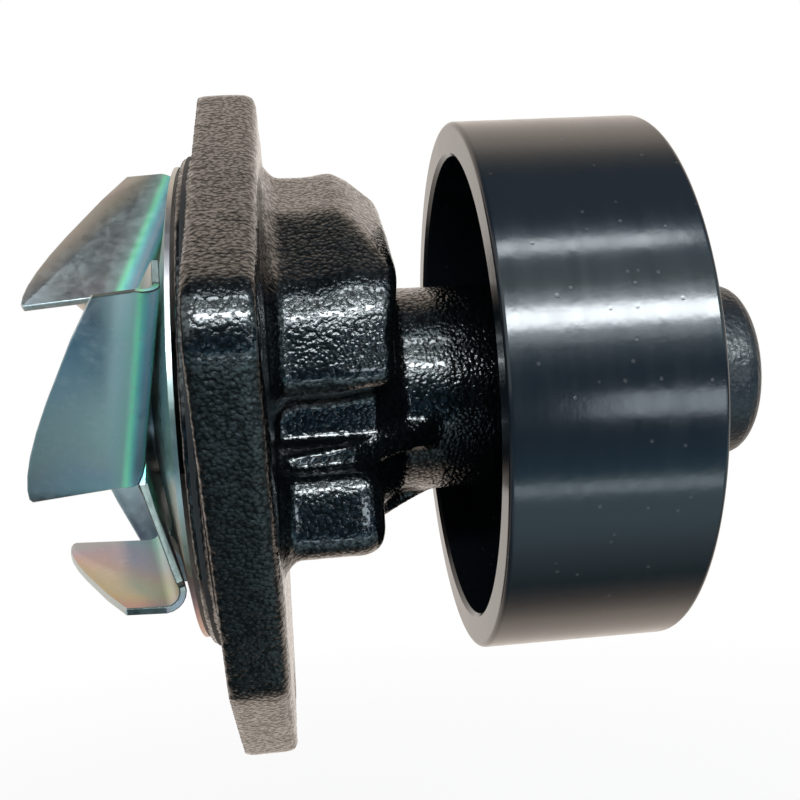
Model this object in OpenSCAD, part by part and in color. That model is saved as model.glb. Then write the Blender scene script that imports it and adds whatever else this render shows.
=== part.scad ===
// Engine coolant pump with a smooth back-driven pulley and a stamped impeller.
// The shaft lies along X, the pulley at +X and the impeller at -X.
// The origin is the centre of the mounting face, which lies in the plane X = 0.

/* [Flange and pilot] */
// Thickness of the mounting flange
flange_t = 12.2; // [11:0.2:14]
// Diameter of the pilot that enters the engine block
pilot_d = 103.2; // [102:0.2:106]
// Height of the pilot above the mounting face
pilot_h = 3; // [2.6:0.1:3.2]
// Width of the relief groove round the pilot's root
relief_w = 0.8; // [0.6:0.1:1.2]
// Depth of the relief groove in the mounting face
relief_depth = 0.5; // [0.3:0.1:0.8]
// Diameter of the holes for the mounting bolts
bolt_hole_d = 9; // [8.4:0.2:10]
// Diameter of the spot faces under the bolt heads
spot_d = 18; // [16:0.5:20]
// Depth of the spot faces
spot_depth = 0.6; // [0.3:0.1:1]
// Rounding of the flange edge on the pulley side
flange_edge = 2.2; // [1:0.2:3]

/* [Seal ring] */
// Width of the square seal ring along the shaft
ring_w = 1.3; // [1:0.1:1.6]
// Thickness of the seal ring across the shaft
ring_t = 2.6; // [2:0.1:3]
// Height by which the seal ring stands out of its groove
ring_proud = 0.2; // [0.1:0.05:0.4]

/* [Body] */
// Depth of the upper chamber behind the flange
upper_depth = 23; // [20:0.5:25]
// Depth of the lower chamber behind the flange
lower_depth = 19.8; // [17:0.5:22]
// Rounding of the chamber ends
chamber_edge = 4; // [2:0.5:5]
// Fall of the upper chamber's top towards its end
upper_fall = 6; // [3:0.5:8]
// Fillet between the flange and the chambers
root_fillet = 3; // [1:0.5:4]
// Diameter of the core between the chambers
core_d = 54; // [50:0.5:58]
// Diameter of the bearing neck
neck_d = 44.6; // [42:0.2:48]
// Distance from the mounting face to the end of the neck
neck_end = 72; // [70:0.5:75]
// Thickness of the gusset ribs
rib_t = 5; // [4:0.5:6]
// Diameter of the weep hole
weep_d = 5; // [4:0.5:6]

/* [Pulley] */
// Diameter of the smooth belt face
pulley_d = 113.6; // [104:0.2:120]
// Width of the belt face
pulley_w = 39; // [36:1:44]
// Wall of the rim
pulley_wall = 7; // [5:0.5:9]
// Thickness of the web
web_t = 8; // [6:0.5:9]
// Distance from the mounting face to the open edge of the pulley
pulley_x = 51.8; // [50:0.2:54]
// Diameter of the pulley hub
hub_d = 38.4; // [34:0.2:40]
// Length of the hub beyond the web
hub_out = 24.8; // [20:0.2:28]
// Rounding of the hub end
hub_round = 4; // [2:0.5:5]
// Rounding of the rim edges
rim_round = 1; // [0.5:0.1:1.5]

/* [Shaft and bearing] */
// Diameter of the shaft
shaft_d = 16; // [15:0.5:17]
// Length by which the shaft stands out of the impeller bush
shaft_out = 2; // [1:0.5:4]
// Outer diameter of the bearing sleeve
sleeve_d = 30; // [29:0.5:31]
// Length of the bearing sleeve
sleeve_len = 44; // [42:0.5:45]
// Wall of the bearing sleeve
sleeve_wall = 3.3; // [3:0.1:3.6]
// Diameter of a bearing ball
ball_d = 6; // [5.6:0.1:6.4]
// Number of balls in each row
ball_count = 8; // [6:1:9]
// Sheet thickness of the ball cages
cage_t = 1.6; // [1.2:0.1:1.8]
// Width of a bearing seal
lip_seal_w = 2.5; // [2:0.1:3]
// Diameter of the slinger
slinger_d = 22; // [20:0.5:24]
// Thickness of the slinger
slinger_t = 3; // [2:0.5:4]

/* [Face seal] */
// Outer diameter of the seal case
case_d = 36; // [35:0.5:38]
// Sheet thickness of the seal case
case_sheet = 0.8; // [0.6:0.1:1]
// Depth of the seal case in its bore
case_depth = 9.8; // [9:0.1:10.5]
// Width of the lip round the mouth of the seal case
case_lip = 2.4; // [2:0.1:3]
// Wire diameter of the seal spring
spring_wire = 1.6; // [1.2:0.1:1.8]
// Number of spring turns
spring_turns = 3; // [2:1:4]
// Length of the carbon ring
carbon_len = 5; // [4.5:0.1:5.5]
// Outer diameter of the carbon ring
carbon_d = 26.8; // [26:0.2:27.4]
// Thickness of the ceramic seat
seat_t = 4; // [3:0.1:4.4]
// Outer diameter of the ceramic seat
seat_d = 28; // [27:0.2:29]

/* [Impeller] */
// Diameter of the impeller
impeller_d = 99.6; // [96:0.2:100]
// Number of blades
blade_count = 5; // [5:1:6]
// Sheet thickness of the blade plate
blade_sheet = 1.4; // [1:0.1:1.6]
// Inner radius of the bends at the blade roots
bend_r = 2.6; // [2:0.1:3]
// Sheet thickness of the back disc
disc_sheet = 0.9; // [0.7:0.1:1.2]
// Height of a blade at its inner end
blade_high = 20.6; // [19:0.2:24]
// Height of a blade at its outer end
blade_low = 10.8; // [9:0.2:13]
// Distance from the mounting face to the back disc's rim
disc_back = 3.9; // [3.7:0.1:4.6]
// Depth of the dish in the back disc
dish_depth = 6.9; // [6:0.1:7]
// Radius of the flat middle of the back disc
disc_flat_r = 20; // [18:0.5:21]
// Radius from the shaft to the inner end of a blade
fold_r = 30.3; // [29:0.1:31]
// Wall of the impeller bush
bush_wall = 4; // [3:0.5:5]
// Angle at which the first blade stands
blade_phase = 23.4; // [0:0.2:71]

/* [Hidden] */
$fn = 96;
// Facets for the children of a hull
hull_fn = 32;
// Steps in a quarter round
round_steps = 6;

// Clearance of fixed fits
fit = 0.02;
// Running clearance of balls and seal lips
run_fit = 0.06;
// Length by which a cut runs past a face
over = 1;
// Overlap that joins two shapes of one casting
lap = 0.5;
// Thickness of a layer inside a hull
layer = 0.1;
// Least corner radius of an inset outline
least_r = 0.3;
// Share by which the top of a skirt is drawn towards the shaft
skirt_share = 0.985;

// Radii that many pieces share
pilot_r = pilot_d / 2;
neck_r = neck_d / 2;
core_r = core_d / 2;
pulley_r = pulley_d / 2;
shaft_r = shaft_d / 2;
sleeve_r = sleeve_d / 2;
impeller_r = impeller_d / 2;
case_r = case_d / 2;
hub_r = hub_d / 2;

// Flange corners as shares of the pilot radius: centre along Y, centre along Z, corner radius
near_ear_shares = [-1.168, 0.213, 0.208];
low_side_shares = [-0.329, -0.95, 0.242];
low_ear_shares = [0.271, -1.366, 0.223];
far_side_shares = [0.969, -0.271, 0.233];
far_ear_shares = [0.872, 0.872, 0.213];
top_shares = [-0.062, 1.103, 0.155];
ear_shares = [near_ear_shares, low_ear_shares, far_ear_shares];
flange_shares = [near_ear_shares, low_side_shares, low_ear_shares, far_side_shares, far_ear_shares, top_shares];

// Chamber corners as shares of the pilot radius, in the same order round the shaft
upper_shares = [[-0.736, 0.078, 0.078], [0.2, 0.1, 0.19], [0.6, 0.12, 0.19], [0.56, 0.5, 0.25],
    [0, 0.707, 0.213], [-0.33, 0.52, 0.213], [-0.562, 0.233, 0.252]];
lower_shares = [[-0.62, -0.359, 0.078], [-0.58, -0.49, 0.116], [0.1, -0.535, 0.15], [0.55, -0.38, 0.155],
    [0.55, -0.3, 0.1]];

// End of the upper chamber, where the corners above this share of the pilot radius sink by the fall
fall_limit_share = 0.4;
upper_end_shares = [for (s = upper_shares)
    [s[0], s[1] > fall_limit_share ? s[1] - upper_fall / pilot_r : s[1], s[2]]];

// Groove and recess of the pilot
groove_start = -ring_proud - lap - ring_w;
groove_r = pilot_r + ring_proud - ring_t;
recess_floor = 3;
recess_share = 0.85;
recess_r = recess_share * pilot_r;

// Places along the shaft inside the housing
upper_end = flange_t + upper_depth;
lower_end = flange_t + lower_depth;
core_taper = 6;
passage_gap = 2.5;
passage_r = shaft_r + passage_gap;
case_bore_end = recess_floor + case_depth;
passage_wall = 2;
chamber_start = case_bore_end + passage_wall;
chamber_gap = 2;
chamber_r = slinger_d / 2 + chamber_gap;
sleeve_inset = 1;
sleeve_end = neck_end - sleeve_inset;
sleeve_start = sleeve_end - sleeve_len;
chamber_mid = (chamber_start + sleeve_start) / 2;

// Ribs between the flange and the neck: angle round the shaft from +Y towards +Z
rib_angles = [204, 336, 268];
rib_root_share = 0.68;
rib_end_share = 0.61;
rib_fall_share = 0.12;

// Bearing, worked out from the shaft, the sleeve and the balls
ball_r = ball_d / 2;
sleeve_bore_r = sleeve_r - sleeve_wall;
pitch_r = (shaft_r + sleeve_bore_r) / 2;
row_share = 0.24;
front_row_x = sleeve_start + sleeve_len * row_share;
rear_row_x = sleeve_end - sleeve_len * row_share;
cage_side = 0.8;
cage_w = ball_d + 2 * cage_side;

// Ends of the pulley and the shaft
web_end = pulley_x + pulley_w;
web_start = web_end - web_t;
hub_end = web_end + hub_out;
hub_gap = 2;
hub_start = neck_end + hub_gap;
web_fillet = 3;
mouth_chamfer = 0.8;
shaft_chamfer = 0.8;
shaft_rear = hub_end - mouth_chamfer;

// Impeller sheets, worked out from the back disc
disc_top = -disc_back - disc_sheet;
flat_top = disc_top - dish_depth;
flat_bottom = flat_top + disc_sheet;
bush_r = shaft_r + bush_wall;
collar_w = 3;
collar_r = bush_r + collar_w;
collar_t = 1.2;
plate_bottom = flat_top - collar_t;
plate_top = plate_bottom - blade_sheet;
bush_len_out = 7.7;
bush_front = plate_top - bush_len_out;
shaft_front = bush_front - shaft_out;

// Blade plate: places in a frame with the radius through an arm's middle first and the turn second
arm_drop = 0.1;
fold_lap = 0.15;
half_turn = 180 / blade_count;
tip_play = 0.15;
outer_lead = 17.6;
tip_lead = 25.2;
tip_inset = 0.3;
arm_outer_r = impeller_r - tip_inset;
fold_x = fold_r * cos(half_turn);
arm_run = arm_outer_r * cos(outer_lead) - fold_x;
arm_top = disc_top - blade_sheet - tip_play;
arm_slope = atan((arm_top - plate_top) / arm_run);

// Face seal stack, from the impeller bush to the case
cup_back = 1.5;
seat_back = flat_bottom + cup_back;
seat_front = seat_back + seat_t;
carbon_end = seat_front + carbon_len;
seat_r = seat_d / 2;
carbon_r = carbon_d / 2;
cup_wall = 1.4;
cup_cover_share = 0.7;
cup_front = seat_back + seat_t * cup_cover_share;
seal_bore_gap = 1.6;
seal_bore_r = shaft_r + seal_bore_gap;
case_back = recess_floor + case_depth - case_sheet;
case_inner_r = case_r - case_sheet;
ferrule_sheet = 0.6;
ferrule_cover = 2.6;
ferrule_seat_w = 2;
bellows_wall = 2.6;
bellows_r = seal_bore_r + bellows_wall;
bellows_fold = 0.9;
spring_r = case_inner_r - spring_wire / 2 - run_fit * 4;
spring_start = carbon_end + ferrule_sheet + run_fit;
spring_len = case_back - spring_start - run_fit;
spring_sides = 8;
spring_rings = 24;

// Turns a shape's height along X, its first axis along Y and its second along Z
module along_x(x) {
    translate([x, 0, 0]) rotate([90, 0, 90]) children();
}

module rod_x(x, len, r) {
    along_x(x) cylinder(r = r, h = len);
}

module tube_x(x, len, outer, inner) {
    along_x(x) difference() {
        cylinder(r = outer, h = len);
        translate([0, 0, -over]) cylinder(r = inner, h = len + 2 * over);
    }
}

// Revolves an outline whose points are a place along X and a radius
module revolve_x(points) {
    rotate([90, 0, 90]) rotate_extrude() polygon([for (p = points) [p[1], p[0]]]);
}

// Points of a round corner about a centre, as places along X and radii
function corner(x, r, size, from, to) = [for (i = [0 : round_steps]) let (a = from + (to - from) * i / round_steps)
    [x + size * cos(a), r + size * sin(a)]];

// Outline of a convex plate with a circle at each corner, listed against the clock seen from +X
function tangent_angle(a, b) = atan2(b[1] - a[1], b[0] - a[0]) - acos((a[2] - b[2]) / norm([b[0] - a[0], b[1] - a[1]]));
function on_circle(c, angle) = [c[0] + c[2] * cos(angle), c[1] + c[2] * sin(angle)];
function corners_of(shares, inset) = [for (s = shares)
    [s[0] * pilot_r, s[1] * pilot_r, max(s[2] * pilot_r - inset, least_r)]];

module rounded_outline(corners) {
    count = len(corners);
    polygon([for (i = [0 : count - 1])
        let (a = corners[i], b = corners[(i + 1) % count], t = tangent_angle(a, b))
        each [on_circle(a, t), on_circle(b, t)]]);
    for (c = corners) translate([c[0], c[1]]) circle(r = c[2]);
}

module slab(shares, inset, x, len) {
    along_x(x) linear_extrude(len) rounded_outline(corners_of(shares, inset));
}

// A slab whose far edge is rounded in two steps, towards an end that may have an outline of its own
module soft_slab(shares, end_shares, x, len, edge, fall_len) {
    $fn = hull_fn;
    first_share = 0.3;
    hull() {
        slab(shares, 0, x, len - edge - fall_len);
        slab(end_shares, edge * first_share, x, len - edge * first_share);
        slab(end_shares, edge, x, len);
    }
}

// A skirt that fills the corner between the flange and a chamber
module skirt(shares) {
    $fn = hull_fn;
    hull() {
        slab(shares, -root_fillet, flange_t - lap, lap);
        scale([1, skirt_share, skirt_share]) slab(shares, 0, flange_t - lap, lap + root_fillet);
    }
}

module rib(angle) {
    root_r = rib_root_share * pilot_r;
    rib_end = neck_end * rib_end_share + lap;
    rib_fall = root_r * rib_fall_share;
    rotate([angle, 0, 0]) translate([0, 0, -rib_t / 2]) linear_extrude(rib_t)
        polygon([[flange_t - lap, neck_r - lap], [flange_t - lap, root_r], [lower_end - rib_t, root_r - rib_fall],
            [rib_end, neck_r], [rib_end, neck_r - lap]]);
}

module bolt_places() {
    for (s = ear_shares) translate([0, s[0] * pilot_r, s[1] * pilot_r]) children();
}

module housing_shape() {
    difference() {
        soft_slab(flange_shares, flange_shares, 0, flange_t, flange_edge, 0);
        rod_x(-over, over + relief_depth, pilot_r + relief_w);
    }
    soft_slab(upper_shares, upper_end_shares, flange_t - lap, upper_depth + lap, chamber_edge, upper_fall);
    soft_slab(lower_shares, lower_shares, flange_t - lap, lower_depth + lap, chamber_edge, 0);
    skirt(upper_shares);
    skirt(lower_shares);
    revolve_x([[-pilot_h, 0], [-pilot_h, pilot_r], [0, pilot_r], [0, pilot_r - relief_w],
        [relief_depth + lap, pilot_r - relief_w], [relief_depth + lap, 0]]);
    revolve_x([[flange_t - lap, 0], [flange_t - lap, core_r], [lower_end, core_r],
        [lower_end + core_taper, neck_r], [neck_end, neck_r], [neck_end, 0]]);
    for (a = rib_angles) rib(a);
}

module housing() {
    color([0.09, 0.09, 0.1]) difference() {
        housing_shape();
        tube_x(groove_start - fit, ring_w + 2 * fit, pilot_r + over, groove_r - fit);
        rod_x(-pilot_h - over, pilot_h + over + recess_floor, recess_r);
        rod_x(recess_floor - over, case_bore_end - recess_floor + over, case_r + fit);
        rod_x(case_bore_end - over, chamber_start - case_bore_end + 2 * over, passage_r);
        rod_x(chamber_start, sleeve_start - chamber_start + over, chamber_r);
        rod_x(sleeve_start, neck_end - sleeve_start + over, sleeve_r + fit);
        translate([chamber_mid, 0, -pilot_r]) cylinder(d = weep_d, h = pilot_r);
        bolt_places() rod_x(-over, flange_t + 2 * over, bolt_hole_d / 2);
        bolt_places() rod_x(flange_t - spot_depth, spot_depth + over, spot_d / 2);
    }
}

module seal_ring() {
    color([0.13, 0.14, 0.15]) tube_x(groove_start, ring_w, groove_r + ring_t, groove_r);
}

module bearing_sleeve() {
    color([0.7, 0.71, 0.73]) difference() {
        tube_x(sleeve_start, sleeve_len, sleeve_r, sleeve_bore_r);
        ball_grooves();
    }
}

module ball_grooves() {
    for (x = [front_row_x, rear_row_x])
        along_x(x) rotate_extrude() translate([pitch_r, 0]) circle(r = ball_r + run_fit);
}

module shaft() {
    color([0.62, 0.63, 0.65]) difference() {
        revolve_x([[shaft_front, 0], [shaft_front, shaft_r - shaft_chamfer], [shaft_front + shaft_chamfer, shaft_r],
            [shaft_rear - shaft_chamfer, shaft_r], [shaft_rear, shaft_r - shaft_chamfer], [shaft_rear, 0]]);
        ball_grooves();
    }
}

module ball_places(x) {
    for (i = [0 : ball_count - 1]) translate([x, 0, 0]) rotate([360 * i / ball_count, 0, 0])
        translate([0, pitch_r, 0]) children();
}

module ball_row(x) {
    color([0.8, 0.81, 0.83]) ball_places(x) sphere(r = ball_r);
}

module front_balls() {
    ball_row(front_row_x);
}

module rear_balls() {
    ball_row(rear_row_x);
}

module cage(x) {
    color([0.72, 0.6, 0.32]) difference() {
        tube_x(x - cage_w / 2, cage_w, pitch_r + cage_t / 2, pitch_r - cage_t / 2);
        ball_places(x) rotate([90, 0, 0]) cylinder(r = ball_r + run_fit, h = ball_d, center = true);
    }
}

module front_cage() {
    cage(front_row_x);
}

module rear_cage() {
    cage(rear_row_x);
}

// A lip seal pressed into the sleeve, its lip towards the outside
module lip_seal(x, out) {
    outer = sleeve_bore_r - fit;
    lip = shaft_r + run_fit;
    body_in = lip + (outer - lip) / 3;
    color([0.12, 0.1, 0.1]) revolve_x([[x, outer], [x, body_in], [x + out * lip_seal_w / 2, lip],
        [x + out * lip_seal_w, lip], [x + out * lip_seal_w, outer]]);
}

module front_lip_seal() {
    lip_seal(sleeve_start + lip_seal_w, -1);
}

module rear_lip_seal() {
    lip_seal(sleeve_end - lip_seal_w, 1);
}

module slinger() {
    start = chamber_mid - slinger_t / 2;
    root_r = shaft_r + (slinger_d / 2 - shaft_r) / 2;
    color([0.55, 0.56, 0.57]) revolve_x([[start, shaft_r + fit], [start, root_r],
        [start + slinger_t / 2, slinger_d / 2], [start + slinger_t, slinger_d / 2],
        [start + slinger_t, shaft_r + fit]]);
}

module seal_case() {
    lip_x = recess_floor - case_sheet;
    color([0.76, 0.63, 0.35]) revolve_x([[lip_x, case_inner_r], [lip_x, case_r + case_lip],
        [recess_floor, case_r + case_lip], [recess_floor, case_r], [case_back + case_sheet, case_r],
        [case_back + case_sheet, seal_bore_r], [case_back, seal_bore_r], [case_back, case_inner_r]]);
}

module seal_bellows() {
    len = case_back - carbon_end;
    color([0.1, 0.1, 0.1]) revolve_x([[carbon_end, seal_bore_r], [carbon_end, bellows_r],
        [carbon_end + len / 3, bellows_r], [carbon_end + len / 2, bellows_r + bellows_fold],
        [case_back - len / 3, bellows_r], [case_back, bellows_r], [case_back, seal_bore_r]]);
}

// Rings of points along a helix round X
function spring_point(turn) = [spring_start + spring_wire / 2
    + (spring_len - spring_wire) * turn / spring_turns, spring_r, 360 * turn];
function spring_ring(turn) = let (p = spring_point(turn)) [for (k = [0 : spring_sides - 1])
    let (a = 360 * k / spring_sides, r = p[1] + spring_wire / 2 * cos(a))
    [p[0] + spring_wire / 2 * sin(a), r * cos(p[2]), r * sin(p[2])]];

module seal_spring() {
    count = spring_turns * spring_rings;
    points = [for (i = [0 : count]) each spring_ring(i / spring_rings)];
    sides = [for (i = [0 : count - 1], k = [0 : spring_sides - 1])
        let (a = i * spring_sides + k, b = i * spring_sides + (k + 1) % spring_sides)
        each [[a, a + spring_sides, b], [b, a + spring_sides, b + spring_sides]]];
    ends = [[for (k = [0 : spring_sides - 1]) k],
        [for (k = [spring_sides - 1 : -1 : 0]) count * spring_sides + k]];
    color([0.75, 0.75, 0.76]) polyhedron(points, concat(sides, ends));
}

module seal_ferrule() {
    inner = carbon_r + fit;
    rim = inner + ferrule_sheet;
    color([0.76, 0.63, 0.35]) revolve_x([[carbon_end - ferrule_cover, inner], [carbon_end - ferrule_cover, rim],
        [carbon_end, rim], [carbon_end, rim + ferrule_seat_w], [carbon_end + ferrule_sheet, rim + ferrule_seat_w],
        [carbon_end + ferrule_sheet, inner]]);
}

module carbon_ring() {
    color([0.16, 0.16, 0.17]) tube_x(seat_front, carbon_len, carbon_r, seal_bore_r);
}

module ceramic_seat() {
    color([0.92, 0.9, 0.85]) tube_x(seat_back, seat_t, seat_r, seal_bore_r);
}

module seat_cup() {
    color([0.1, 0.1, 0.1]) revolve_x([[flat_bottom, shaft_r + fit], [flat_bottom, seat_r + cup_wall],
        [cup_front, seat_r + cup_wall], [cup_front, seat_r + fit], [seat_back, seat_r + fit],
        [seat_back, shaft_r + fit]]);
}

module impeller_hub() {
    color([0.66, 0.67, 0.69]) revolve_x([[bush_front, shaft_r + fit], [bush_front, bush_r], [plate_bottom, bush_r],
        [plate_bottom, collar_r], [flat_top, collar_r], [flat_top, bush_r], [flat_bottom, bush_r],
        [flat_bottom, shaft_r + fit]]);
}

module back_disc() {
    color([0.72, 0.75, 0.72]) revolve_x([[flat_top, bush_r + fit], [flat_top, disc_flat_r], [disc_top, impeller_r],
        [disc_top + disc_sheet, impeller_r], [flat_bottom, disc_flat_r], [flat_bottom, bush_r + fit]]);
}

// Places on the top face of an arm, in its own frame: radius, turn, X
function unit(v) = v / norm(v);
function arm_place(r, angle) = let (x = r * cos(angle))
    [x, r * sin(angle), plate_top + arm_drop + (x - fold_x) * tan(arm_slope)];
blade_outer = arm_place(arm_outer_r, -outer_lead);
blade_inner = arm_place(fold_r, half_turn);
arm_corner = arm_place(fold_r, -half_turn);
arm_tip = arm_place(arm_outer_r, -tip_lead);
bend_dir = unit(blade_inner - blade_outer);
arm_normal = [sin(arm_slope), 0, -cos(arm_slope)];
arm_in = cross(bend_dir, arm_normal);
fold_step = [fold_lap, 0, fold_lap * tan(arm_slope)];
blade_up = unit([0, 0, -1] + bend_dir * bend_dir[2]);
blade_out = cross(blade_up, bend_dir);
bend_len = norm(blade_inner - blade_outer);
bend_angle = acos(arm_in * blade_up);
bend_tangent = bend_r / tan(bend_angle / 2);

// Tip of a blade: share of its length from the outer end, share of the rise from low to high
blade_shares = [[0, 0], [0.2, 0.32], [0.36, 0.52], [0.5, 0.7], [0.65, 0.86], [0.78, 0.96], [0.88, 1],
    [0.96, 0.99], [1.01, 0.95], [1.03, 0.88]];

function blade_edge(s) = let (p = (blade_inner - blade_outer) * s[0]
    + [0, 0, -1] * (blade_low + (blade_high - blade_low) * s[1])) [p * blade_up, p * bend_dir];
function in_arm(p) = [(p - blade_outer) * arm_in, (p - blade_outer) * bend_dir];
function bend_arc(r) = [for (i = [0 : round_steps])
    let (a = bend_angle + 90 + (180 - bend_angle) * i / round_steps)
    [bend_r + r * sin(a), bend_tangent + r * cos(a)]];

// Puts a shape into a frame given by an origin and three unit directions
module in_frame(o, a, b, c) {
    multmatrix([[a[0], b[0], c[0], o[0]], [a[1], b[1], c[1], o[1]], [a[2], b[2], c[2], o[2]], [0, 0, 0, 1]])
        children();
}

module blade_arm() {
    in_frame(blade_outer, arm_in, bend_dir, arm_normal) translate([0, 0, -blade_sheet])
        linear_extrude(blade_sheet) polygon([[bend_tangent, 0], in_arm(arm_tip), in_arm(arm_corner),
            in_arm(arm_corner - fold_step), [bend_tangent, bend_len]]);
}

module blade_bend() {
    outer_arc = bend_arc(bend_r + blade_sheet);
    in_frame(blade_outer, arm_normal, arm_in, bend_dir) linear_extrude(bend_len)
        polygon(concat(bend_arc(bend_r), [for (i = [round_steps : -1 : 0]) outer_arc[i]]));
}

module blade_panel() {
    in_frame(blade_outer, blade_up, bend_dir, blade_out) linear_extrude(blade_sheet)
        polygon(concat([[bend_tangent, bend_len], [bend_tangent, 0]], [for (s = blade_shares) blade_edge(s)]));
}

// Turn at which the first arm stands, so that its blade starts at the given angle above the near side
arm_turn = 180 - blade_phase + outer_lead;

module impeller_blades() {
    color([0.66, 0.72, 0.68]) rotate([arm_turn, 0, 0]) {
        for (i = [0 : blade_count - 1]) rotate([360 * i / blade_count, 0, 0]) along_x(0) {
            blade_arm();
            blade_bend();
            blade_panel();
        }
        difference() {
            along_x(plate_top) rotate([0, 0, half_turn]) cylinder(r = fold_r, h = blade_sheet, $fn = blade_count);
            rod_x(plate_top - over, blade_sheet + 2 * over, bush_r + fit);
        }
    }
}

module pulley() {
    rim_in = pulley_r - pulley_wall;
    color([0.1, 0.1, 0.12]) revolve_x(concat(
        [[pulley_x, rim_in + mouth_chamfer]],
        corner(pulley_x + rim_round, pulley_r - rim_round, rim_round, 180, 90),
        corner(web_end - rim_round, pulley_r - rim_round, rim_round, 90, 0),
        corner(web_end + web_fillet, hub_r + web_fillet, web_fillet, 180, 270),
        corner(hub_end - hub_round, hub_r - hub_round, hub_round, 90, 0),
        [[hub_end, shaft_r + fit + mouth_chamfer], [hub_end - mouth_chamfer, shaft_r + fit],
            [hub_start, shaft_r + fit]],
        [[hub_start, hub_r]],
        corner(web_start - web_fillet, hub_r + web_fillet, web_fillet, 270, 360),
        corner(web_start - web_fillet, rim_in - web_fillet, web_fillet, 0, 90),
        [[pulley_x + mouth_chamfer, rim_in]]));
}

housing();
seal_ring();
bearing_sleeve();
shaft();
front_balls();
rear_balls();
front_cage();
rear_cage();
front_lip_seal();
rear_lip_seal();
slinger();
seal_case();
seal_bellows();
seal_spring();
seal_ferrule();
carbon_ring();
ceramic_seat();
seat_cup();
impeller_hub();
impeller_blades();
back_disc();
pulley();
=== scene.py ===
import math

import bmesh
import bpy
from mathutils import Matrix, Vector, noise


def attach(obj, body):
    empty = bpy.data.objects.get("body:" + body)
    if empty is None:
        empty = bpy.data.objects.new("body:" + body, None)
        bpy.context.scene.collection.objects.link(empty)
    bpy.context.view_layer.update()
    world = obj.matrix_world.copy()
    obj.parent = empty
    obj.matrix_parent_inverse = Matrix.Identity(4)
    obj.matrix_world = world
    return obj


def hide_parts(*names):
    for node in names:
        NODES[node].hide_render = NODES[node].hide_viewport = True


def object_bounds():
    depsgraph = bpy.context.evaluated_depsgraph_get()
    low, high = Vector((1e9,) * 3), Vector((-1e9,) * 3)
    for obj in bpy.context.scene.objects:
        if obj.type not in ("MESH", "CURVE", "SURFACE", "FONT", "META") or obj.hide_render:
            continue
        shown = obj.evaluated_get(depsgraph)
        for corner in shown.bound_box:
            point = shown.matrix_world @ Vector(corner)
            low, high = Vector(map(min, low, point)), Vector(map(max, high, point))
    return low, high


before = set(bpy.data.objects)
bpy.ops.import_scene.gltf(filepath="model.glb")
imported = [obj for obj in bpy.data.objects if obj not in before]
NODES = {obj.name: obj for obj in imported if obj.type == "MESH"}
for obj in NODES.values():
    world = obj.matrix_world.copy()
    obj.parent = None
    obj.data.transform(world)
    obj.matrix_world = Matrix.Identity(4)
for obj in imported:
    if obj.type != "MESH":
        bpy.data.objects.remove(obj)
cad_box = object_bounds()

MM = 0.001
WHITE = (1.0, 1.0, 1.0)
SOCKET_KINDS = {"value": "NodeSocketFloat", "colour": "NodeSocketColor", "vector": "NodeSocketVector"}
# Numbers of the sockets on a mix node that take and give colours
MIX_FACTOR, MIX_FIRST, MIX_SECOND, MIX_RESULT = 0, 6, 7, 2
# Most values of a noise texture lie in this span
NOISE_SPAN = (0.3, 0.7)


# Shader helpers

def set_inputs(tree, sockets, values):
    for key, value in values.items():
        if isinstance(value, bpy.types.NodeSocket):
            tree.links.new(value, sockets[key])
        else:
            sockets[key].default_value = value


def add_node(tree, kind, settings=None, inputs=None):
    made = tree.nodes.new(kind)
    for key, value in (settings or {}).items():
        setattr(made, key, value)
    set_inputs(tree, made.inputs, inputs or {})
    return made


def noise_value(tree, place, scale, detail=2.0, roughness=0.5, distortion=0.0):
    made = add_node(tree, "ShaderNodeTexNoise", inputs={
        "Vector": place, "Scale": scale, "Detail": detail, "Roughness": roughness, "Distortion": distortion})
    return made.outputs["Fac"]


def calculate(tree, operation, *values):
    made = add_node(tree, "ShaderNodeMath", {"operation": operation}, dict(enumerate(values)))
    return made.outputs[0]


def rescale(tree, value, span, result=(0.0, 1.0)):
    made = add_node(tree, "ShaderNodeMapRange", inputs={
        "Value": value, "From Min": span[0], "From Max": span[1], "To Min": result[0], "To Max": result[1]})
    return made.outputs["Result"]


def split(tree, vector):
    return add_node(tree, "ShaderNodeSeparateXYZ", inputs={0: vector}).outputs


def opaque(colour):
    return colour if isinstance(colour, bpy.types.NodeSocket) else (*colour, 1.0)


def colour_ramp(tree, factor, stops):
    made = add_node(tree, "ShaderNodeValToRGB", inputs={"Fac": factor})
    marks = made.color_ramp.elements
    for i, (place, colour) in enumerate(stops):
        mark = marks[i] if i < len(marks) else marks.new(place)
        mark.position = place
        mark.color = opaque(colour)
    return made.outputs["Color"]


def mix_colours(tree, factor, first, second):
    made = add_node(tree, "ShaderNodeMix", {"data_type": "RGBA"},
        {MIX_FACTOR: factor, MIX_FIRST: opaque(first), MIX_SECOND: opaque(second)})
    return made.outputs[MIX_RESULT]


def start_group(name, inputs, outputs):
    tree = bpy.data.node_groups.new(name, "ShaderNodeTree")
    for side, sockets in (("INPUT", inputs), ("OUTPUT", outputs)):
        for label, kind in sockets.items():
            tree.interface.new_socket(label, in_out=side, socket_type=SOCKET_KINDS[kind])
    source = tree.nodes.new("NodeGroupInput").outputs
    sink = tree.nodes.new("NodeGroupOutput").inputs
    return tree, source, sink


# Effects that several materials share

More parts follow.
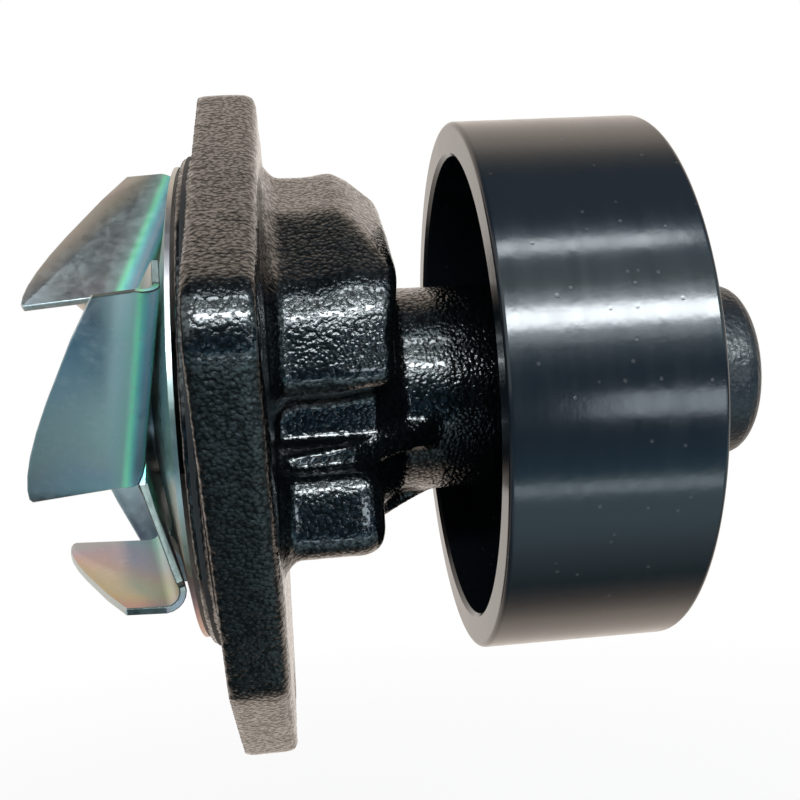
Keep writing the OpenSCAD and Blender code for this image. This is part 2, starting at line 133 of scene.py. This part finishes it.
def make_cast_skin():
    tree, source, sink = start_group("cast_skin",
        {"Place": "vector", "Grain": "value", "Swell": "value"},
        {"Height": "value", "Hollows": "value", "Drift": "value"})
    pebble_fall, swell_height = -0.9, 0.6
    pebbles = add_node(tree, "ShaderNodeTexVoronoi", {"feature": "SMOOTH_F1"},
        {"Vector": source["Place"], "Scale": source["Grain"], "Smoothness": 0.6, "Randomness": 1.0})
    fine = noise_value(tree, source["Place"], source["Grain"], detail=1.5)
    swell = noise_value(tree, source["Place"], source["Swell"])
    bumps = calculate(tree, "MULTIPLY_ADD", pebbles.outputs["Distance"], pebble_fall, fine)
    height = calculate(tree, "MULTIPLY_ADD", swell, swell_height, bumps)
    hollows = rescale(tree, bumps, (-0.1, 0.25), (1.0, 0.0))
    set_inputs(tree, sink, {"Height": height, "Hollows": hollows, "Drift": swell})
    return tree


def make_plating_tint():
    tree, source, sink = start_group("plating_tint",
        {"Place": "vector", "Bands": "value"}, {"Colour": "colour", "Smudge": "value"})
    drift = noise_value(tree, source["Place"], source["Bands"], detail=1.5, roughness=0.45, distortion=0.6)
    tint = colour_ramp(tree, rescale(tree, drift, NOISE_SPAN), [
        (0.0, (0.34, 0.42, 0.42)), (0.18, (0.40, 0.46, 0.34)), (0.34, (0.48, 0.43, 0.24)),
        (0.5, (0.52, 0.33, 0.27)), (0.66, (0.40, 0.29, 0.42)), (0.82, (0.30, 0.42, 0.48)),
        (1.0, (0.34, 0.42, 0.42))])
    smudge = noise_value(tree, source["Place"], 420.0, detail=4.0, roughness=0.65, distortion=0.4)
    set_inputs(tree, sink, {"Colour": tint, "Smudge": smudge})
    return tree


def make_turned_lines():
    tree, source, sink = start_group("turned_lines",
        {"Place": "vector", "Pitch": "value"}, {"Height": "value", "Streak": "value"})
    along = add_node(tree, "ShaderNodeCombineXYZ", inputs={"X": split(tree, source["Place"])["X"]})
    lines = noise_value(tree, along.outputs[0], source["Pitch"], roughness=0.7)
    narrowed = add_node(tree, "ShaderNodeMapping", inputs={
        "Vector": source["Place"], "Scale": (6.0, 1.0, 1.0)})
    streak = noise_value(tree, narrowed.outputs[0], 60.0, detail=3.0, roughness=0.6)
    set_inputs(tree, sink, {"Height": lines, "Streak": streak})
    return tree


def make_small_pits():
    tree, source, sink = start_group("small_pits",
        {"Place": "vector", "Spacing": "value"}, {"Height": "value", "Pits": "value"})
    pit_fall = -0.8
    cells = add_node(tree, "ShaderNodeTexVoronoi", {"feature": "F1"},
        {"Vector": source["Place"], "Scale": source["Spacing"], "Randomness": 1.0})
    pits = rescale(tree, cells.outputs["Distance"], (0.05, 0.11), (1.0, 0.0))
    skin = noise_value(tree, source["Place"], 700.0)
    height = calculate(tree, "MULTIPLY_ADD", pits, pit_fall, skin)
    set_inputs(tree, sink, {"Height": height, "Pits": pits})
    return tree


CAST_SKIN = make_cast_skin()
PLATING_TINT = make_plating_tint()
TURNED_LINES = make_turned_lines()
SMALL_PITS = make_small_pits()


# Materials

def start_material(name, metallic=0.0, specular=0.5):
    material = bpy.data.materials.new(name)
    material.use_nodes = True
    tree = material.node_tree
    shader = tree.nodes["Principled BSDF"].inputs
    set_inputs(tree, shader, {"Metallic": metallic, "Specular IOR Level": specular})
    place = add_node(tree, "ShaderNodeTexCoord").outputs["Object"]
    return material, tree, shader, place


def use_group(tree, group, **inputs):
    made = add_node(tree, "ShaderNodeGroup", {"node_tree": group})
    set_inputs(tree, made.inputs, {label.title(): value for label, value in inputs.items()})
    return made.outputs


def bump_normal(tree, height, depth, strength):
    made = add_node(tree, "ShaderNodeBump", inputs={
        "Height": height, "Distance": depth, "Strength": strength})
    return made.outputs[0]


# The mounting face and the pilot before it are machined, and the grain grows behind them over this stretch
GRAIN_START = (0.4 * MM, 1.2 * MM)
MACHINED_GRAIN = 0.08


def casting_paint():
    material, tree, shader, place = start_material("casting_paint", specular=0.4)
    skin = use_group(tree, CAST_SKIN, place=place, grain=1250.0, swell=70.0)
    # The base colour is darker in the hollows between the pebbles of the grain: this is painted shade.
    paint, painted_hollow_shade = (0.0022, 0.0030, 0.0036), (0.0008, 0.0012, 0.0014)
    grain = rescale(tree, split(tree, place)["X"], GRAIN_START, (MACHINED_GRAIN, 1.0))
    height = calculate(tree, "MULTIPLY", skin["Height"], grain)
    set_inputs(tree, shader, {
        "Base Color": mix_colours(tree, skin["Hollows"], paint, painted_hollow_shade),
        "Roughness": rescale(tree, skin["Drift"], NOISE_SPAN, (0.13, 0.2)),
        "Coat Weight": rescale(tree, skin["Hollows"], (0.2, 0.8), (0.7, 0.0)),
        "Coat Roughness": 0.08,
        "Coat IOR": 1.75,
        "Normal": bump_normal(tree, height, 0.3 * MM, 0.5)})
    return material


# The hub of the pulley is left as cast: it ends between these radii and starts over this stretch of the shaft
HUB_RIM = (21.0 * MM, 23.5 * MM)
HUB_START = (60.0 * MM, 65.0 * MM)


def pulley_coating():
    material, tree, shader, place = start_material("pulley_coating")
    pits = use_group(tree, SMALL_PITS, place=place, spacing=240.0)
    lines = use_group(tree, TURNED_LINES, place=place, pitch=1500.0)
    skin = use_group(tree, CAST_SKIN, place=place, grain=900.0, swell=120.0)
    coating, pit_grey = (0.0055, 0.0075, 0.0105), (0.03, 0.03, 0.032)
    hub_roughness, hub_share, pit_share = 0.2, 0.9, 0.08
    parts = split(tree, place)
    across = add_node(tree, "ShaderNodeCombineXYZ", inputs={"Y": parts["Y"], "Z": parts["Z"]}).outputs[0]
    radius = add_node(tree, "ShaderNodeVectorMath", {"operation": "LENGTH"}, {0: across}).outputs["Value"]
    hub = calculate(tree, "MULTIPLY",
        rescale(tree, radius, HUB_RIM, (1.0, 0.0)), rescale(tree, parts["X"], HUB_START))
    smooth = rescale(tree, lines["Streak"], NOISE_SPAN, (0.12, 0.18))
    cast = calculate(tree, "MULTIPLY", skin["Height"], calculate(tree, "MULTIPLY", hub, hub_share))
    height = calculate(tree, "MULTIPLY_ADD", pits["Height"], pit_share, cast)
    set_inputs(tree, shader, {
        "Base Color": mix_colours(tree, pits["Pits"], coating, pit_grey),
        "Roughness": calculate(tree, "MULTIPLY_ADD", hub, hub_roughness, smooth),
        "Normal": bump_normal(tree, height, 0.3 * MM, 0.5)})
    return material


# Colour of the sheets over SHEET_REACH, from the lowest edge up: copper, teal, silver, grey. These are partly
# the plating's tints and partly painted light: the upper blades are painted lighter
SHEET_REACH = (-50.0 * MM, 50.0 * MM)
SHEET_TINT_AND_LIGHT_STOPS = [
    (0.0, (0.42, 0.31, 0.24)), (0.2, (0.42, 0.30, 0.28)), (0.33, (0.32, 0.42, 0.43)),
    (0.62, (0.28, 0.42, 0.44)), (0.72, (0.64, 0.61, 0.63)), (0.86, (0.58, 0.56, 0.58)),
    (1.0, (0.44, 0.47, 0.46))]
# The stains of the plating fade upwards over this stretch
STAIN_END = (-35.0 * MM, -18.0 * MM)
# Colour of the plating round a fold, by the distance from it in millimetres, and where that colour fades. It
# is partly the plating's tint and partly a painted highlight: near white at the fold itself, bright cyan and
# green beside it, and weaker towards the bottom
FOLD_ATTRIBUTE = "from_fold"
BEND_WIDTH = (0.0, 8.0)
BEND_FADE = (3.0, 7.0)
BEND_TINT_AND_HIGHLIGHT_STOPS = [
    (0.0, (0.8, 0.88, 1.0)), (0.12, (0.5, 0.85, 1.0)), (0.22, (0.36, 0.98, 0.92)),
    (0.33, (0.32, 0.9, 0.56)), (0.45, (0.3, 0.48, 0.41)), (0.65, (0.28, 0.42, 0.43)),
    (1.0, (0.36, 0.5, 0.5))]


def plated_sheet(name, has_folds):
    material, tree, shader, place = start_material(name, metallic=1.0)
    tint = use_group(tree, PLATING_TINT, place=place, bands=26.0)
    upward = split(tree, place)["Z"]
    worn_grey, bend_roughness = (0.5, 0.56, 0.56), 0.2
    base = colour_ramp(tree, rescale(tree, upward, SHEET_REACH), SHEET_TINT_AND_LIGHT_STOPS)
    colour = mix_colours(tree, rescale(tree, upward, STAIN_END, (0.7, 0.25)), base, tint["Colour"])
    rough = rescale(tree, tint["Smudge"], NOISE_SPAN, (0.26, 0.4))
    if has_folds:
        away = add_node(tree, "ShaderNodeAttribute", {"attribute_name": FOLD_ATTRIBUTE}).outputs["Fac"]
        # The band along each fold is partly the plating's tint and partly a painted highlight.
        bend = colour_ramp(tree, rescale(tree, away, BEND_WIDTH), BEND_TINT_AND_HIGHLIGHT_STOPS)
        strength = calculate(tree, "MULTIPLY",
            rescale(tree, away, BEND_FADE, (0.9, 0.0)), rescale(tree, upward, STAIN_END, (0.2, 1.0)))
        colour = mix_colours(tree, strength, colour, bend)
        rough = calculate(tree, "MULTIPLY_ADD", strength, bend_roughness, rough)
    worn = rescale(tree, tint["Smudge"], (0.5, 0.8), (0.0, 0.5))
    set_inputs(tree, shader, {
        "Base Color": mix_colours(tree, worn, colour, worn_grey),
        "Roughness": rough,
        "Normal": bump_normal(tree, tint["Smudge"], 0.04 * MM, 0.4)})
    return material


def sheared_edge(name, low, high):
    material, tree, shader, place = start_material(name, metallic=1.0)
    tint = use_group(tree, PLATING_TINT, place=place, bands=60.0)
    set_inputs(tree, shader, {
        "Base Color": mix_colours(tree, tint["Smudge"], low, high),
        "Roughness": rescale(tree, tint["Smudge"], NOISE_SPAN, (0.36, 0.56)),
        "Normal": bump_normal(tree, tint["Smudge"], 0.25 * MM, 0.6)})
    return material


def turned_metal(name, colour, rough):
    material, tree, shader, place = start_material(name, metallic=1.0)
    lines = use_group(tree, TURNED_LINES, place=place, pitch=2600.0)
    streak_share = 0.72
    streaks = tuple(part * streak_share for part in colour)
    set_inputs(tree, shader, {
        "Base Color": mix_colours(tree, lines["Streak"], streaks, colour),
        "Roughness": rescale(tree, lines["Streak"], NOISE_SPAN, (rough - 0.06, rough + 0.08)),
        "Normal": bump_normal(tree, lines["Height"], 0.03 * MM, 0.6)})
    return material


def moulded(name, colour, rough):
    material, tree, shader, place = start_material(name, specular=0.4)
    skin = use_group(tree, CAST_SKIN, place=place, grain=500.0, swell=60.0)
    light_share = 1.35
    lighter = tuple(min(1.0, part * light_share) for part in colour)
    set_inputs(tree, shader, {
        "Base Color": mix_colours(tree, skin["Drift"], colour, lighter),
        "Roughness": rescale(tree, skin["Drift"], NOISE_SPAN, (rough, rough + 0.15)),
        "Normal": bump_normal(tree, skin["Height"], 0.06 * MM, 0.5)})
    return material


PAINT = casting_paint()
COATING = pulley_coating()
PLATING = plated_sheet("plated_sheet", has_folds=False)
BENT_PLATING = plated_sheet("bent_plated_sheet", has_folds=True)
BRIGHT_EDGE = sheared_edge("sheared_edge", (0.42, 0.47, 0.47), (0.72, 0.78, 0.78))
# The cut edges of the arms are painted near black, darker than any bare metal: this is painted shade.
SHADED_ARM_EDGE = sheared_edge("arm_edge_painted_shade", (0.055, 0.065, 0.06), (0.15, 0.18, 0.17))
STEEL = turned_metal("ground_steel", (0.62, 0.63, 0.65), 0.3)
BALL_STEEL = turned_metal("ball_steel", (0.78, 0.79, 0.81), 0.12)
BRASS = turned_metal("drawn_brass", (0.72, 0.52, 0.24), 0.3)
RUBBER = moulded("black_rubber", (0.012, 0.012, 0.013), 0.5)
CARBON = moulded("lapped_carbon", (0.03, 0.03, 0.032), 0.35)
CERAMIC = moulded("white_ceramic", (0.7, 0.68, 0.62), 0.25)

FINISHES = {
    "housing": PAINT, "pulley": COATING, "impeller_blades": BENT_PLATING, "back_disc": PLATING,
    "impeller_hub": STEEL, "shaft": STEEL, "slinger": STEEL, "bearing_sleeve": STEEL, "seal_spring": STEEL,
    "front_balls": BALL_STEEL, "rear_balls": BALL_STEEL,
    "front_cage": BRASS, "rear_cage": BRASS, "seal_case": BRASS, "seal_ferrule": BRASS,
    "seal_ring": RUBBER, "front_lip_seal": RUBBER, "rear_lip_seal": RUBBER, "seal_bellows": RUBBER,
    "seat_cup": RUBBER, "carbon_ring": CARBON, "ceramic_seat": CERAMIC,
}
for name, finish in FINISHES.items():
    NODES[name].data.materials.clear()
    NODES[name].data.materials.append(finish)


# The two pieces that are dressed from a copy of their solid, which brings its material with it

WELD_DISTANCE = 0.01 * MM


def copy_of_node(name, new_name):
    mesh = NODES[name].data.copy()
    mesh.name = new_name
    piece = bpy.data.objects.new(new_name, mesh)
    bpy.context.scene.collection.objects.link(piece)
    shape = bmesh.new()
    shape.from_mesh(mesh)
    bmesh.ops.remove_doubles(shape, verts=shape.verts, dist=WELD_DISTANCE)
    shape.to_mesh(mesh)
    shape.free()
    return piece


# The cast housing, remeshed from its solid so that every edge has the soft run of a casting

CELL_SIZE = 0.95 * MM
CAST_PASSES = 2
OUTLINE_PASSES = 5
# Millimetres behind the mounting face: machined up to the first, with a casting's full waves from the second
MACHINED, WAVY = 0.6, 2.5
# The crown of the upper chamber, in millimetres: its shift grows along the shaft and upwards, and ends again
CROWN_SHIFT = Vector((2.0, 0.0, 1.5))
CROWN_ALONG, CROWN_UP, CROWN_END = (20.0, 29.0), (8.0, 24.0), (36.0, 38.0)
# Noise scale, and height in millimetres, of each run of waves in the skin
WAVES = ((90.0, 0.16), (260.0, 0.07))


def remesh(piece):
    cells = piece.modifiers.new("cells", "REMESH")
    cells.mode = "VOXEL"
    cells.voxel_size = CELL_SIZE
    seen = piece.evaluated_get(bpy.context.evaluated_depsgraph_get())
    mesh = bpy.data.meshes.new_from_object(seen)
    piece.modifiers.clear()
    piece.data = mesh


def ease(value, span):
    low, high = span
    share = max(0.0, min(1.0, (value - low) / (high - low)))
    return share * share * (3.0 - 2.0 * share)


def soften(shape, verts, passes, along_shaft):
    for _ in range(passes):
        bmesh.ops.smooth_vert(shape, verts=verts, factor=0.5,
            use_axis_x=along_shaft, use_axis_y=True, use_axis_z=True)


def make_cast_housing():
    piece = copy_of_node("housing", "cast_housing")
    remesh(piece)
    shape = bmesh.new()
    shape.from_mesh(piece.data)
    cast = [v for v in shape.verts if v.co.x > MACHINED * MM]
    machined = [v for v in shape.verts if v.co.x <= MACHINED * MM]
    soften(shape, cast, CAST_PASSES, along_shaft=True)
    # The machined face stays flat, and only its outlines lose the steps of the cells
    soften(shape, machined, OUTLINE_PASSES, along_shaft=False)
    low_y, high_y = cad_box[0][1], cad_box[1][1]
    for v in cast:
        x, z = v.co.x / MM, v.co.z / MM
        crown = ease(x, CROWN_ALONG) * ease(z, CROWN_UP) * (1.0 - ease(x, CROWN_END))
        v.co += CROWN_SHIFT * (crown * MM)
        wave = sum(noise.noise(v.co * scale) * height for scale, height in WAVES)
        v.co += v.normal * (wave * ease(x, (MACHINED, WAVY)) * MM)
        v.co.y = max(low_y, min(high_y, v.co.y))
    shape.to_mesh(piece.data)
    shape.free()
    piece.data.shade_smooth()
    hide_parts("housing")
    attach(piece, "housing")


# The stamped blades, with the rounded edges that shearing and folding leave on a sheet

BLADE_COUNT = 5
# Ends of the first blade's fold, in metres; the other folds are turned from it round the shaft
FIRST_FOLD = ((-0.00625, -0.04543, 0.01966), (-0.0142, -0.02619, -0.01524))
EDGE_ROUND = 0.22 * MM
FLAT_ANGLE, SHARP_ANGLE, SHADED_ANGLE = math.radians(1.5), math.radians(40.0), math.radians(25.0)
# Material slots of the edges; the sheet itself has slot 0
BRIGHT, PAINTED_SHADE_SLOT = 1, 2
# A cut edge is a strip of less than this half width that reaches past the bend, in millimetres from the fold
STRIP_HALF = 0.7 * MM
BEND_REACH = 4.5
# Edges on the housing's side of this place on the shaft belong to the arms, and are painted near black as
# shade
ARM_END = -15.0 * MM


def distance_to_segment(point, start, end):
    along = end - start
    share = max(0.0, min(1.0, (point - start).dot(along) / along.length_squared))
    return (point - start - along * share).length


def round_edges(shape):
    bmesh.ops.dissolve_limit(shape, angle_limit=FLAT_ANGLE, verts=shape.verts, edges=shape.edges)
    sharp = [e for e in shape.edges if len(e.link_faces) == 2 and e.calc_face_angle(0.0) > SHARP_ANGLE]
    bmesh.ops.bevel(shape, geom=sharp, offset=EDGE_ROUND, offset_type="OFFSET", affect="EDGES", segments=2,
        profile=0.5, material=BRIGHT, clamp_overlap=False)


def mark_folds(shape):
    away = shape.verts.layers.float.new(FOLD_ATTRIBUTE)
    folds = [[Matrix.Rotation(math.tau * k / BLADE_COUNT, 3, "X") @ Vector(end) for end in FIRST_FOLD]
        for k in range(BLADE_COUNT)]
    for v in shape.verts:
        v[away] = min(distance_to_segment(v.co, *ends) for ends in folds) / MM
    return away


def sort_edge_finish_and_shade(shape, away):
    for face in shape.faces:
        # A long strip has an area over its perimeter of half its width
        narrow = face.calc_area() / face.calc_perimeter() < STRIP_HALF
        cut = narrow and max(v[away] for v in face.verts) > BEND_REACH
        if face.material_index == BRIGHT or cut:
            face.material_index = PAINTED_SHADE_SLOT if face.calc_center_median().x > ARM_END else BRIGHT


def make_stamped_blades():
    piece = copy_of_node("impeller_blades", "stamped_blades")
    piece.data.materials.append(BRIGHT_EDGE)
    piece.data.materials.append(SHADED_ARM_EDGE)
    shape = bmesh.new()
    shape.from_mesh(piece.data)
    round_edges(shape)
    away = mark_folds(shape)
    sort_edge_finish_and_shade(shape, away)
    shape.to_mesh(piece.data)
    shape.free()
    piece.data.shade_smooth()
    piece.data.set_sharp_from_angle(angle=SHADED_ANGLE)
    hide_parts("impeller_blades")
    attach(piece, "rotor")


make_cast_housing()
make_stamped_blades()


# Studio: pale floor, white surroundings, soft lamps and the camera

FLOOR_HALF, FLOOR_BEFORE, FLOOR_HEIGHT = 3.0, 0.15, -0.2
# The floor fades to plain white over this distance from the point under the part
FLOOR_MIDDLE = (0.03, 0.0, FLOOR_HEIGHT)
FLOOR_FADE = (0.1, 0.6)


def floor_white():
    material = bpy.data.materials.new("floor_white")
    material.use_nodes = True
    tree = material.node_tree
    tree.nodes.clear()
    rays = add_node(tree, "ShaderNodeLightPath").outputs
    seen = calculate(tree, "MAXIMUM", rays["Is Camera Ray"], rays["Is Transmission Ray"])
    place = add_node(tree, "ShaderNodeTexCoord").outputs["Object"]
    away = add_node(tree, "ShaderNodeVectorMath", {"operation": "DISTANCE"}, {0: place, 1: FLOOR_MIDDLE})
    share = calculate(tree, "MULTIPLY", seen, rescale(tree, away.outputs["Value"], FLOOR_FADE, (0.8, 1.0)))
    matte = add_node(tree, "ShaderNodeBsdfDiffuse", inputs={"Color": opaque((0.86, 0.86, 0.86))})
    glow = add_node(tree, "ShaderNodeEmission", inputs={"Color": opaque(WHITE), "Strength": 1.0})
    both = add_node(tree, "ShaderNodeMixShader", inputs={0: share, 1: matte.outputs[0], 2: glow.outputs[0]})
    add_node(tree, "ShaderNodeOutputMaterial", inputs={"Surface": both.outputs[0]})
    return material


def make_floor():
    shape = bmesh.new()
    bmesh.ops.create_grid(shape, x_segments=8, y_segments=8, size=FLOOR_HALF)
    bmesh.ops.translate(shape, verts=shape.verts, vec=(0.0, FLOOR_HALF - FLOOR_BEFORE, FLOOR_HEIGHT))
    mesh = bpy.data.meshes.new("studio_floor")
    shape.to_mesh(mesh)
    shape.free()
    mesh.materials.append(floor_white())
    floor = bpy.data.objects.new("studio_floor", mesh)
    bpy.context.scene.collection.objects.link(floor)
    floor.visible_glossy = False


# What shines back from gloss, by its angle in degrees round the shaft: 0 is the front and 90 is straight up,
# with warm paper behind the part and a dim room before it
PAPER = (1.0, 0.93, 0.87)
WARM_EDGE = (1.0, 0.85, 0.72)
COOL_FRONT = (0.6, 0.9, 1.0)
ROOM_LIGHT = [
    (-180, PAPER), (-120, WARM_EDGE), (-105, (0.4, 0.33, 0.28)), (-93, (0.06, 0.11, 0.11)),
    (-76, (0.34, 0.46, 0.5)), (-62, COOL_FRONT), (-46, COOL_FRONT), (-38, (0.1, 0.3, 0.45)),
    (-22, (0.04, 0.1, 0.16)), (4, (0.08, 0.16, 0.22)), (14, (0.7, 0.95, 1.0)), (40, (0.8, 1.0, 1.0)),
    (60, (0.6, 0.85, 1.0)), (67, (0.15, 0.2, 0.25)), (95, (0.13, 0.16, 0.18)), (104, (0.36, 0.33, 0.28)),
    (118, WARM_EDGE), (180, PAPER)]
DARK_LEFT = (0.02, 0.03, 0.04)
ROOM_FILL = (0.45, 0.45, 0.45)


def make_world():
    world = bpy.data.worlds.new("studio")
    bpy.context.scene.world = world
    world.use_nodes = True
    tree = world.node_tree
    tree.nodes.clear()
    rays = add_node(tree, "ShaderNodeLightPath").outputs
    facing = split(tree, add_node(tree, "ShaderNodeTexCoord").outputs["Generated"])
    forward = calculate(tree, "MULTIPLY", facing["Y"], -1.0)
    turn = rescale(tree, calculate(tree, "ARCTAN2", facing["Z"], forward), (-math.pi, math.pi))
    room = colour_ramp(tree, turn, [((angle + 180.0) / 360.0, colour) for angle, colour in ROOM_LIGHT])
    # The room is dark to the left: beside the part most, before it less and behind it not at all
    beside = calculate(tree, "MULTIPLY", rescale(tree, facing["Y"], (-0.1, 0.25), (1.0, 0.0)),
        rescale(tree, facing["Y"], (-0.5, -0.25), (0.4, 1.0)))
    leftward = calculate(tree, "MULTIPLY", rescale(tree, facing["X"], (-0.1, 0.22), (0.85, 0.0)), beside)
    room = mix_colours(tree, leftward, room, DARK_LEFT)
    mirrored = calculate(tree, "MAXIMUM", rays["Is Glossy Ray"], rays["Is Transmission Ray"])
    lit = mix_colours(tree, mirrored, ROOM_FILL, room)
    shown = mix_colours(tree, rays["Is Camera Ray"], lit, WHITE)
    sky = add_node(tree, "ShaderNodeBackground", inputs={"Color": shown, "Strength": 1.0})
    add_node(tree, "ShaderNodeOutputWorld", inputs={"Surface": sky.outputs[0]})


def add_lamp(name, place, target, size, power, colour):
    lamp = bpy.data.lights.new(name, "AREA")
    lamp.shape = "RECTANGLE"
    lamp.size, lamp.size_y = size
    lamp.energy = power
    lamp.color = colour
    holder = bpy.data.objects.new(name, lamp)
    holder.location = place
    holder.rotation_euler = (Vector(target) - Vector(place)).to_track_quat("-Z", "Y").to_euler()
    holder.visible_camera = False
    bpy.context.scene.collection.objects.link(holder)


# Where the lamps point
BELT_FRONT = (0.07, -0.055, 0.013)
BELT_MIDDLE = (0.07, -0.055, 0.0)
BELT_UPPER = (0.07, -0.05, 0.03)
BELT_LOWER = (0.07, -0.05, -0.025)
BLADES = (-0.02, -0.03, 0.0)
COOL = (0.8, 0.92, 1.0)


def add_lamps():
    add_lamp("key_strip", (0.13, -0.6, 0.262), BELT_FRONT, (0.56, 0.085), 4.0, (0.9, 0.96, 1.0))
    add_lamp("key_glow", (0.13, -0.62, 0.27), BELT_FRONT, (0.6, 0.24), 1.1, COOL)
    add_lamp("upper_strip", (0.1, -0.33, 0.42), BELT_UPPER, (0.36, 0.05), 0.6, (0.88, 0.95, 1.0))
    add_lamp("front_card", (0.42, -0.7, -0.15), BELT_MIDDLE, (0.3, 0.12), 0.6, COOL)
    add_lamp("low_strip", (0.1, -0.29, -0.25), BELT_LOWER, (0.36, 0.03), 0.1, COOL)
    add_lamp("left_card", (-0.45, -0.5, 0.3), BLADES, (0.8, 0.8), 1.5, (0.92, 0.99, 1.0))


# The camera that fits the photograph, with its focal length in pixels of the photograph
PHOTO_WIDTH, FOCAL_PIXELS = 800.0, 1020.4
SENSOR_WIDTH = 36.0
CAMERA_PLACE = (0.01644, -0.22478, 0.00028)
CAMERA_YAW, CAMERA_PITCH, CAMERA_ROLL = math.radians(5.844), math.radians(0.666), 0.063
NEAR_CLIP = 0.01


def add_camera():
    yaw, pitch, roll = CAMERA_YAW, CAMERA_PITCH, CAMERA_ROLL
    forward = Vector((math.sin(yaw) * math.cos(pitch), math.cos(yaw) * math.cos(pitch), -math.sin(pitch)))
    level = Vector((math.cos(yaw), -math.sin(yaw), 0.0))
    upright = level.cross(forward)
    right = level * math.cos(roll) - upright * math.sin(roll)
    up = upright * math.cos(roll) + level * math.sin(roll)
    turn = Matrix((right, up, -forward)).transposed().to_4x4()
    lens = bpy.data.cameras.new("photo_view")
    lens.sensor_fit = "HORIZONTAL"
    lens.sensor_width = SENSOR_WIDTH
    lens.lens = FOCAL_PIXELS / PHOTO_WIDTH * SENSOR_WIDTH
    lens.clip_start = NEAR_CLIP
    camera = bpy.data.objects.new("photo_view", lens)
    camera.matrix_world = Matrix.Translation(CAMERA_PLACE) @ turn
    bpy.context.scene.collection.objects.link(camera)
    bpy.context.scene.camera = camera


make_floor()
make_world()
add_lamps()
add_camera()
bpy.context.scene.view_settings.view_transform = "Standard"
